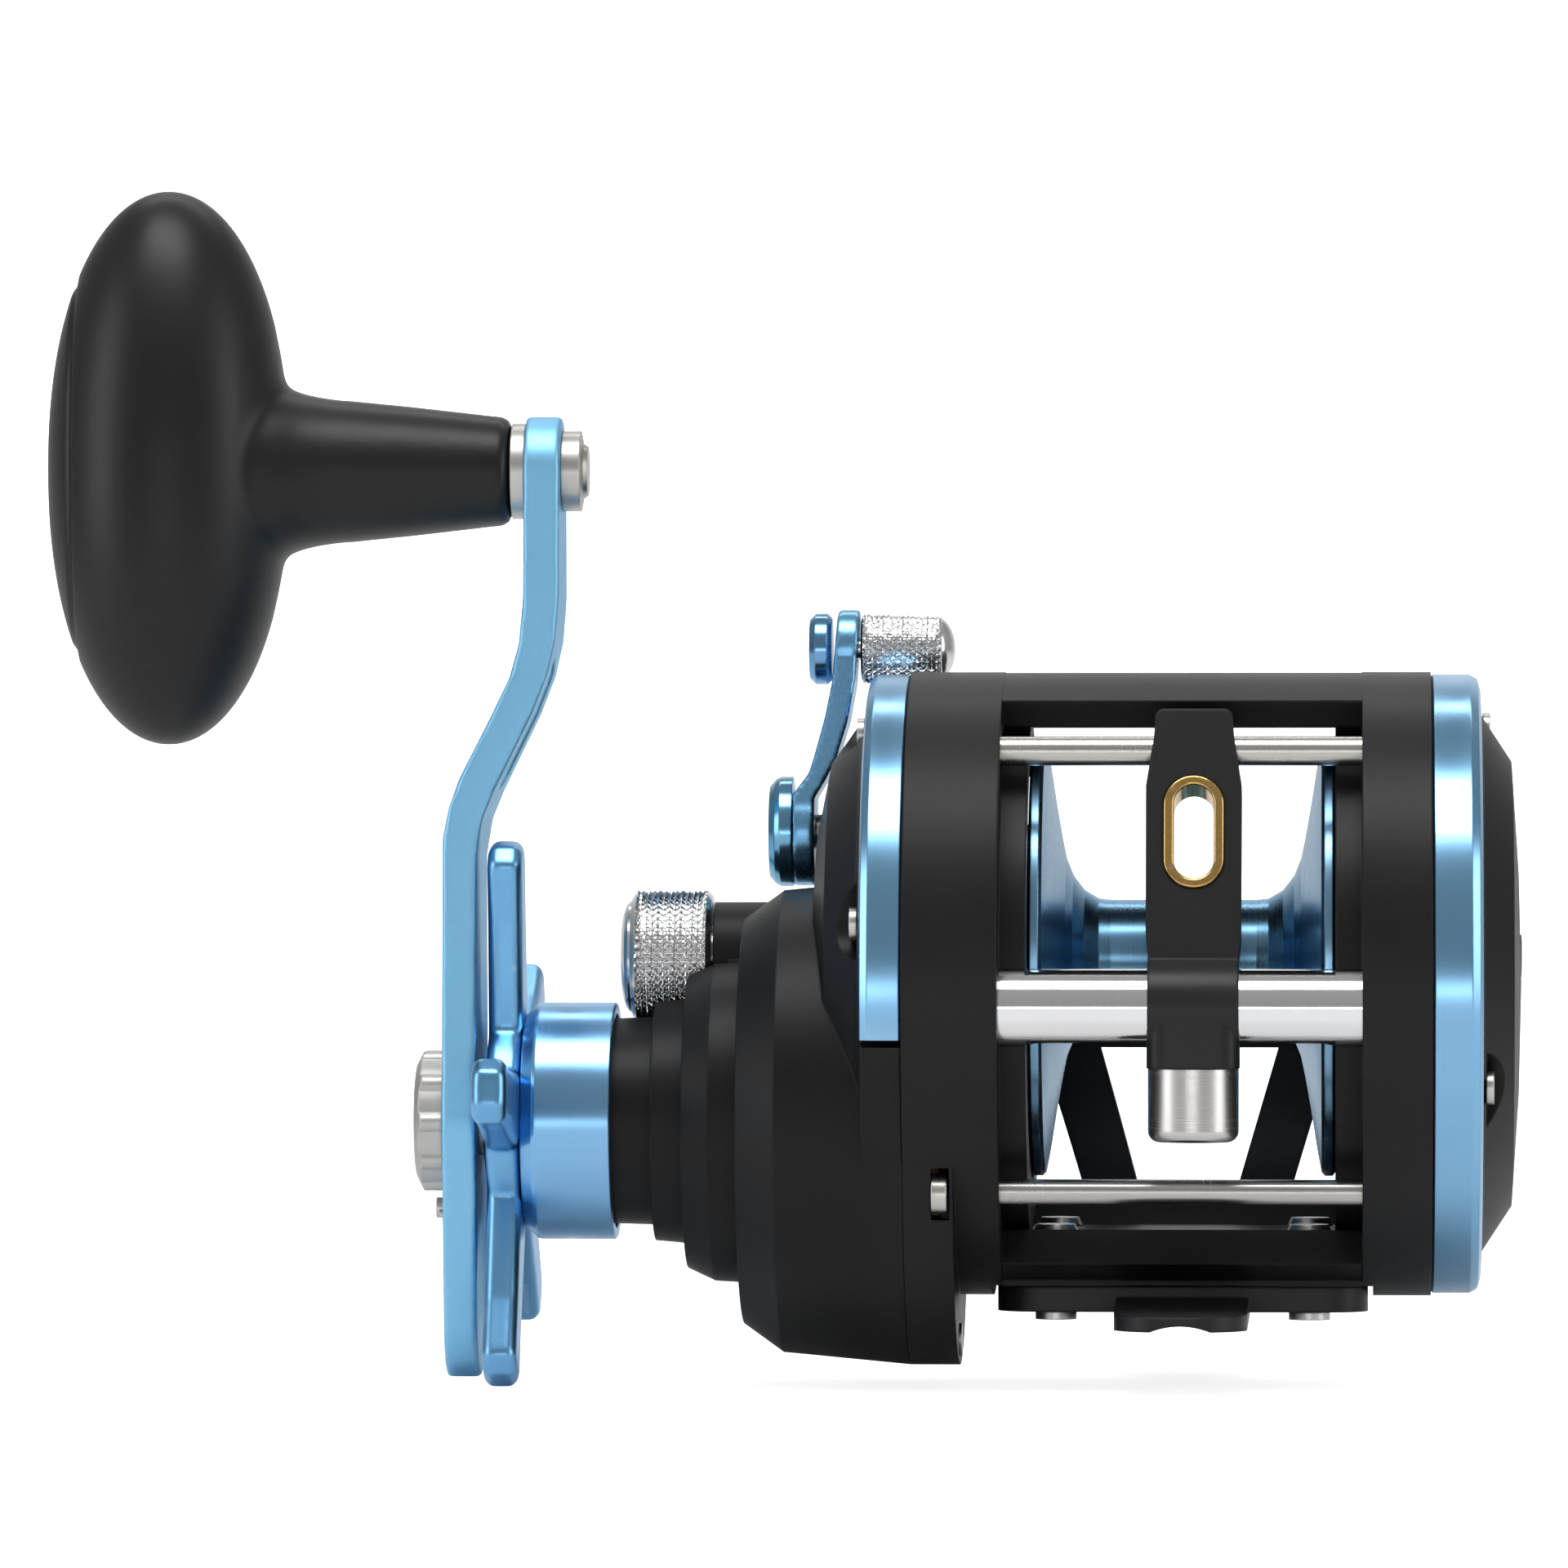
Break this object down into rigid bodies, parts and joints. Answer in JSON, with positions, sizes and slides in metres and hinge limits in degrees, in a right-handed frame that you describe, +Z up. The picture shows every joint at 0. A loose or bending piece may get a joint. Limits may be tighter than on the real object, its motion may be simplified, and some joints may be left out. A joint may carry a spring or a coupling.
{
  "type": "trolling reel",
  "caption": "Level-wind trolling reel with a ringed black frame, blue spool, star drag, clutch lever, travelling line guide and a long handle with a T-shaped knob.",
  "frame": {"origin": "centre of the reel foot's underside, where it sits on the rod's reel seat", "axes": "+X along the spool axis away from the handle, -Y towards the line guide and the rod tip, +Z up from the foot"},
  "size_m": [0.1728, 0.0728, 0.1394],
  "materials": {
    "frame_black": "satin black graphite-filled housing",
    "blue_anodised": "polished blue anodised",
    "blue_blasted": "bead-blasted blue anodised",
    "stainless": "turned and polished",
    "chrome_tube": "polished chrome",
    "knurled_silver": "diamond knurled",
    "brass_gear": "machined",
    "gold_titanium": "polished gold coating",
    "grip_rubber": "satin soft touch",
    "plastic_black": "moulded",
    "carbon_fibre": "woven drag material",
    "bronze_bush": "sintered bronze"
  },
  "bodies": {
    "reel_frame": {"frame": "frame_black", "gear_side_cover": "frame_black", "gear_side_ring": "blue_anodised", "palm_side_ring": "blue_anodised", "palm_side_cover": "frame_black", "gear_cover_screws": "stainless", "housing_screws": "stainless", "palm_cover_screws": "stainless", "reel_foot": "frame_black", "foot_rivets": "stainless", "upper_guide_rod": "stainless", "lower_guide_rod": "stainless", "level_wind_tube": "chrome_tube", "idler_stud": "stainless", "spool_bearing_races": "stainless", "spool_bearing_balls": "stainless", "drive_bushing": "bronze_bush", "dog_stud": "stainless", "bridge_plate": "stainless", "yoke_posts": "stainless"},
    "handle": {"handle_arm": "blue_blasted", "handle_nut": "stainless", "nut_keeper_screw": "stainless", "knob_spindle": "stainless", "knob_washer": "stainless", "drive_shaft": "stainless", "main_gear": "brass_gear", "drag_fibre_washers": "carbon_fibre", "drag_metal_washers": "stainless", "drag_spring_washer": "stainless", "ratchet": "stainless"},
    "knob": {"handle_knob": "grip_rubber", "knob_end_cap": "plastic_black"},
    "star": {"star_wheel": "blue_anodised", "star_sleeve": "blue_anodised"},
    "spool_unit": {"spool": "blue_anodised", "spool_shaft": "stainless", "clutch_pin": "stainless", "spool_gear": "plastic_black", "click_gear": "brass_gear"},
    "idler": {"idler_gear": "plastic_black"},
    "worm": {"worm_shaft": "stainless", "worm_gear": "plastic_black"},
    "carriage": {"line_guide": "plastic_black", "line_eyelet": "gold_titanium", "pawl_cap": "stainless"},
    "pawl_follower": {"pawl": "stainless"},
    "lever": {"clutch_lever": "blue_anodised", "lever_pivot_cap": "blue_anodised", "lever_cam": "stainless", "lever_grip": "knurled_silver", "lever_grip_cap": "blue_anodised"},
    "yoke_slider": {"yoke": "plastic_black"},
    "pinion_gear": {"pinion": "brass_gear"},
    "tension_adjuster": {"tension_knob": "knurled_silver"},
    "reverse_dog": {"anti_reverse_dog": "stainless"},
    "clicker": {"click_button": "plastic_black", "click_tongue": "stainless"}
  },
  "joints": [
    {"name": "handle_spin", "type": "hinge", "parent": "reel_frame", "child": "handle", "pos_m": [0, -0.0022, 0.0231], "axis": [1, 0, 0], "continuous": true},
    {"name": "knob_spin", "type": "hinge", "parent": "handle", "child": "knob", "pos_m": [0, -0.0022, 0.0991], "axis": [1, 0, 0], "continuous": true},
    {"name": "star_drag_turn", "type": "hinge", "parent": "handle", "child": "star", "pos_m": [0, -0.0022, 0.0231], "axis": [1, 0, 0], "range_deg": [-170, 170]},
    {"name": "spool_spin", "type": "hinge", "parent": "reel_frame", "child": "spool_unit", "pos_m": [0, 0.003, 0.0422], "axis": [1, 0, 0], "continuous": true},
    {"name": "idler_spin", "type": "hinge", "parent": "reel_frame", "child": "idler", "pos_m": [0, -0.01314, 0.04077], "axis": [1, 0, 0], "continuous": true},
    {"name": "worm_spin", "type": "hinge", "parent": "reel_frame", "child": "worm", "pos_m": [0, -0.0292, 0.037], "axis": [1, 0, 0], "continuous": true},
    {"name": "line_guide_slide", "type": "slide", "parent": "reel_frame", "child": "carriage", "axis": [1, 0, 0], "range_m": [-0.0135, 0.0105]},
    {"name": "pawl_swivel", "type": "hinge", "parent": "carriage", "child": "pawl_follower", "pos_m": [0.0015, -0.0292, 0.03], "axis": [0, 0, 1], "range_deg": [-25, 25]},
    {"name": "clutch_lever_swing", "type": "hinge", "parent": "reel_frame", "child": "lever", "pos_m": [0, 0.01, 0.0569], "axis": [1, 0, 0], "range_deg": [-35, 0]},
    {"name": "yoke_slide", "type": "slide", "parent": "reel_frame", "child": "yoke_slider", "axis": [1, 0, 0], "range_m": [-0.00181, 0.00001]},
    {"name": "pinion_spin", "type": "hinge", "parent": "yoke_slider", "child": "pinion_gear", "pos_m": [0, 0.003, 0.0422], "axis": [1, 0, 0], "continuous": true},
    {"name": "tension_turn", "type": "hinge", "parent": "reel_frame", "child": "tension_adjuster", "pos_m": [0, 0.003, 0.0422], "axis": [1, 0, 0], "range_deg": [-170, 170]},
    {"name": "dog_lift", "type": "hinge", "parent": "reel_frame", "child": "reverse_dog", "pos_m": [0, 0.0145, 0.0191], "axis": [1, 0, 0], "range_deg": [-18, 0]},
    {"name": "click_slide", "type": "slide", "parent": "reel_frame", "child": "clicker", "axis": [0, -1, 0], "range_m": [0, 0.003]}
  ],
  "couplings": [
    {"joint": "spool_spin", "follows": "handle_spin", "ratio": -5},
    {"joint": "pinion_spin", "follows": "handle_spin", "ratio": -5},
    {"joint": "idler_spin", "follows": "handle_spin", "ratio": 1.9231},
    {"joint": "worm_spin", "follows": "handle_spin", "ratio": -4.6875},
    {"joint": "yoke_slide", "follows": "clutch_lever_swing", "m_per_rad": 0.0029466}
  ]
}
